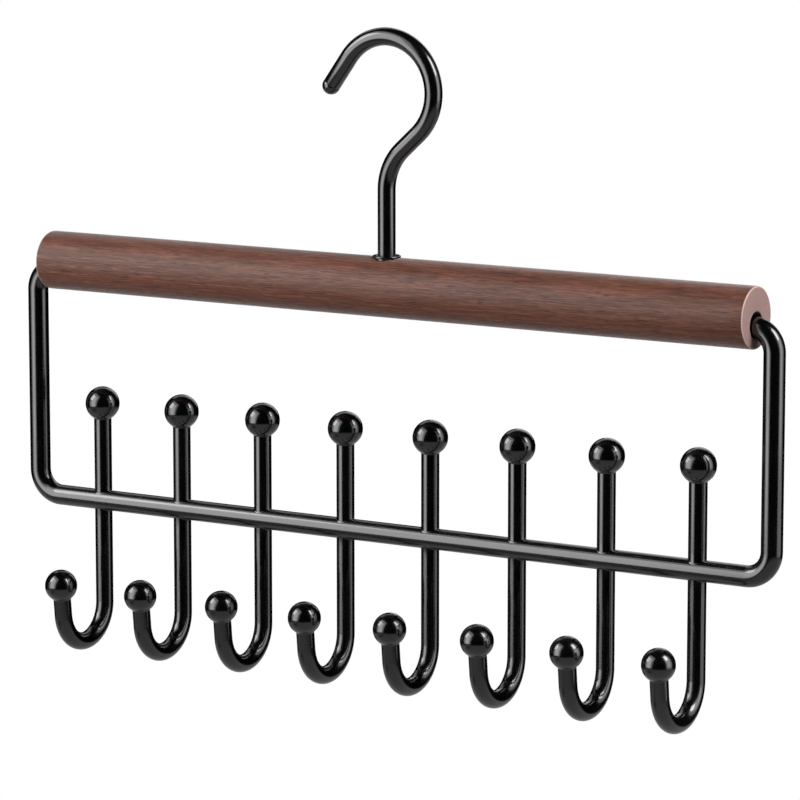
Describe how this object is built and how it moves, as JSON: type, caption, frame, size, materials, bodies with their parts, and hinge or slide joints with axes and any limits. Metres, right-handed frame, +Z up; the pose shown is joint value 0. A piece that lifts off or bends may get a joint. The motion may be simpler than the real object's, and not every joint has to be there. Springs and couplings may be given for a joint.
{
  "type": "delicates hanger",
  "caption": "Swivelling closet hanger: round wooden bar with a wire top hook, and a black wire frame below with ball-tipped pegs and J hooks for bras, camisoles and other delicates.",
  "frame": {"origin": "top of the closet rod where the top hook rests on it: the middle of the hook bend's inner side, straight above the middle of the bar", "axes": "+X along the wooden bar, +Z up along the hook's shank, -Y to the front, where the J hooks' tips are; the frame hangs straight down and the hook's opening faces -X"},
  "size_m": [0.3508, 0.0483, 0.2618],
  "materials": {
    "stained_walnut": "dark walnut stain under a satin clear lacquer",
    "black_enamel": "gloss black stove enamel on steel wire"
  },
  "bodies": {
    "hook": {"top_hook": "black_enamel"},
    "bar": {"wooden_bar": "stained_walnut", "hook_ferrule": "black_enamel"},
    "frame": {"frame_rod": "black_enamel", "peg_1": "black_enamel", "peg_2": "black_enamel", "peg_3": "black_enamel", "peg_4": "black_enamel", "peg_5": "black_enamel", "peg_6": "black_enamel", "peg_7": "black_enamel", "peg_8": "black_enamel", "j_hook_1": "black_enamel", "j_hook_2": "black_enamel", "j_hook_3": "black_enamel", "j_hook_4": "black_enamel", "j_hook_5": "black_enamel", "j_hook_6": "black_enamel", "j_hook_7": "black_enamel", "j_hook_8": "black_enamel", "peg_ball_1": "black_enamel", "peg_ball_2": "black_enamel", "peg_ball_3": "black_enamel", "peg_ball_4": "black_enamel", "peg_ball_5": "black_enamel", "peg_ball_6": "black_enamel", "peg_ball_7": "black_enamel", "peg_ball_8": "black_enamel", "tip_ball_1": "black_enamel", "tip_ball_2": "black_enamel", "tip_ball_3": "black_enamel", "tip_ball_4": "black_enamel", "tip_ball_5": "black_enamel", "tip_ball_6": "black_enamel", "tip_ball_7": "black_enamel", "tip_ball_8": "black_enamel"}
  },
  "joints": [
    {"name": "hook_swivel", "type": "hinge", "parent": "hook", "child": "bar", "pos_m": [0, 0, -0.09522], "axis": [0, 0, 1], "continuous": true},
    {"name": "frame_swing", "type": "hinge", "parent": "bar", "child": "frame", "pos_m": [0, 0, -0.09862], "axis": [1, 0, 0], "range_deg": [-150, 150]}
  ]
}
